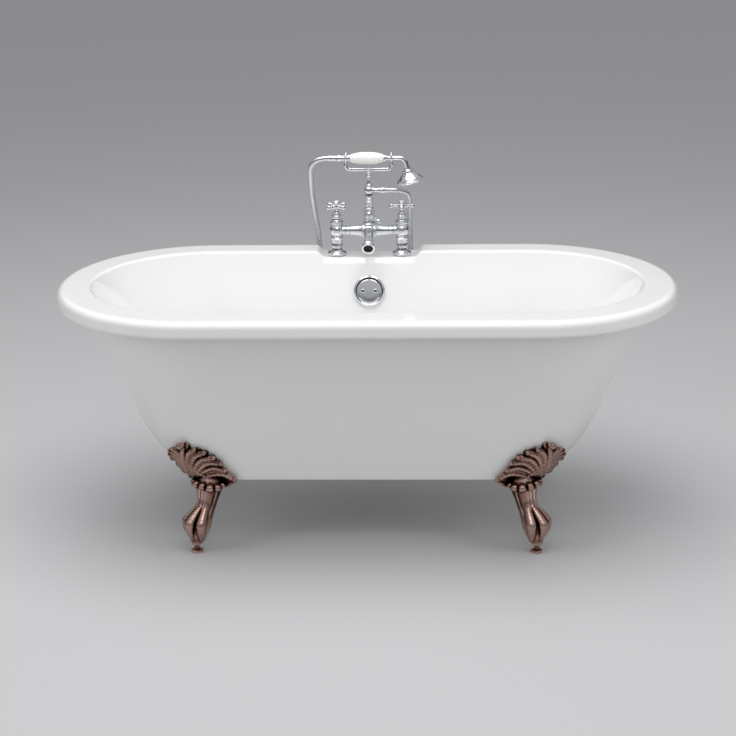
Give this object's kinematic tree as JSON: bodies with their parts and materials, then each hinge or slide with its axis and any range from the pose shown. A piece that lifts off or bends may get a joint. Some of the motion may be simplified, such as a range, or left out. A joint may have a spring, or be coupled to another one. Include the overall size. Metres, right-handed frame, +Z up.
{
  "type": "roll-top bathtub with claw feet and deck mixer",
  "caption": "Freestanding double-ended roll-top bath on claw feet, with a deck-mounted crosshead mixer, waste and overflow, and a handset on a cradle fed by a flexible hose.",
  "frame": {"origin": "on the floor under the middle of the bath", "axes": "+X along the bath, +Y across it towards the side that carries the mixer, +Z up"},
  "size_m": [1.5998, 0.7885, 0.925],
  "materials": {
    "acrylic_white": "gloss",
    "skin_white": "gloss",
    "ply": "matt",
    "antique_copper": "antiqued",
    "zinc_steel": "satin",
    "chrome": "polished",
    "rough_brass": "satin",
    "black_rubber": "matt",
    "pipe_white": "matt",
    "porcelain": "gloss"
  },
  "bodies": {
    "bath": {"inner_shell": "acrylic_white", "outer_skin": "skin_white", "base_board": "ply", "deck_board": "ply", "foot_front_left": "antique_copper", "foot_front_right": "antique_copper", "foot_rear_left": "antique_copper", "foot_rear_right": "antique_copper", "glide_lock_nuts": "antique_copper", "foot_bolts": "zinc_steel", "foot_washers": "zinc_steel", "foot_inserts": "rough_brass", "waste_flange": "chrome", "waste_flange_gasket": "black_rubber", "waste_body": "rough_brass", "waste_body_gasket": "black_rubber", "plug_cartridge": "rough_brass", "overflow_faceplate": "chrome", "overflow_screws": "chrome", "overflow_gasket": "black_rubber", "overflow_elbow": "pipe_white", "overflow_pipe": "pipe_white", "overflow_pipe_nuts": "pipe_white", "pillar_left": "chrome", "pillar_right": "chrome", "pillar_gaskets": "black_rubber", "pillar_backnuts": "rough_brass", "pillar_union_nuts": "chrome", "mixer_body": "chrome", "spout": "chrome", "spout_aerator": "chrome", "cartridge_left": "rough_brass", "cartridge_right": "rough_brass", "bonnet_left": "chrome", "bonnet_right": "chrome", "riser": "chrome", "shower_elbow": "chrome", "hose_nut": "chrome", "cradle": "chrome", "shower_hose": "chrome"},
    "hot_handle": {"crosshead_left": "chrome", "index_left": "porcelain", "spindle_left": "rough_brass"},
    "cold_handle": {"crosshead_right": "chrome", "index_right": "porcelain", "spindle_right": "rough_brass"},
    "diverter": {"diverter_spindle": "rough_brass", "diverter_lever": "chrome"},
    "handset": {"handset_tail": "chrome", "handset_grip": "porcelain", "handset_neck": "chrome", "shower_rose": "chrome", "rose_plate": "chrome", "hose_cone": "chrome"},
    "plug": {"waste_plug": "chrome", "plug_seal": "black_rubber"},
    "glide_a": {"glide_front_left": "antique_copper"},
    "glide_b": {"glide_front_right": "antique_copper"},
    "glide_c": {"glide_rear_left": "antique_copper"},
    "glide_d": {"glide_rear_right": "antique_copper"}
  },
  "joints": [
    {"name": "hot_turn", "type": "hinge", "parent": "bath", "child": "hot_handle", "pos_m": [-0.09, 0.319, 0.775], "axis": [0, 0, 1], "range_deg": [0, 90]},
    {"name": "cold_turn", "type": "hinge", "parent": "bath", "child": "cold_handle", "pos_m": [0.09, 0.319, 0.775], "axis": [0, 0, -1], "range_deg": [0, 90]},
    {"name": "diverter_turn", "type": "hinge", "parent": "bath", "child": "diverter", "pos_m": [0, 0.298, 0.753], "axis": [0, -1, 0], "range_deg": [0, 90]},
    {"name": "handset_lift", "type": "slide", "parent": "bath", "child": "handset", "axis": [0, 0, 1], "range_m": [0, 0.08]},
    {"name": "plug_rise", "type": "slide", "parent": "bath", "child": "plug", "axis": [0, 0, 1], "range_m": [0, 0.009]},
    {"name": "glide_front_left_screw", "type": "slide", "parent": "bath", "child": "glide_a", "axis": [0, 0, -1], "range_m": [0, 0.015]},
    {"name": "glide_front_right_screw", "type": "slide", "parent": "bath", "child": "glide_b", "axis": [0, 0, -1], "range_m": [0, 0.015]},
    {"name": "glide_rear_left_screw", "type": "slide", "parent": "bath", "child": "glide_c", "axis": [0, 0, -1], "range_m": [0, 0.015]},
    {"name": "glide_rear_right_screw", "type": "slide", "parent": "bath", "child": "glide_d", "axis": [0, 0, -1], "range_m": [0, 0.015]}
  ]
}
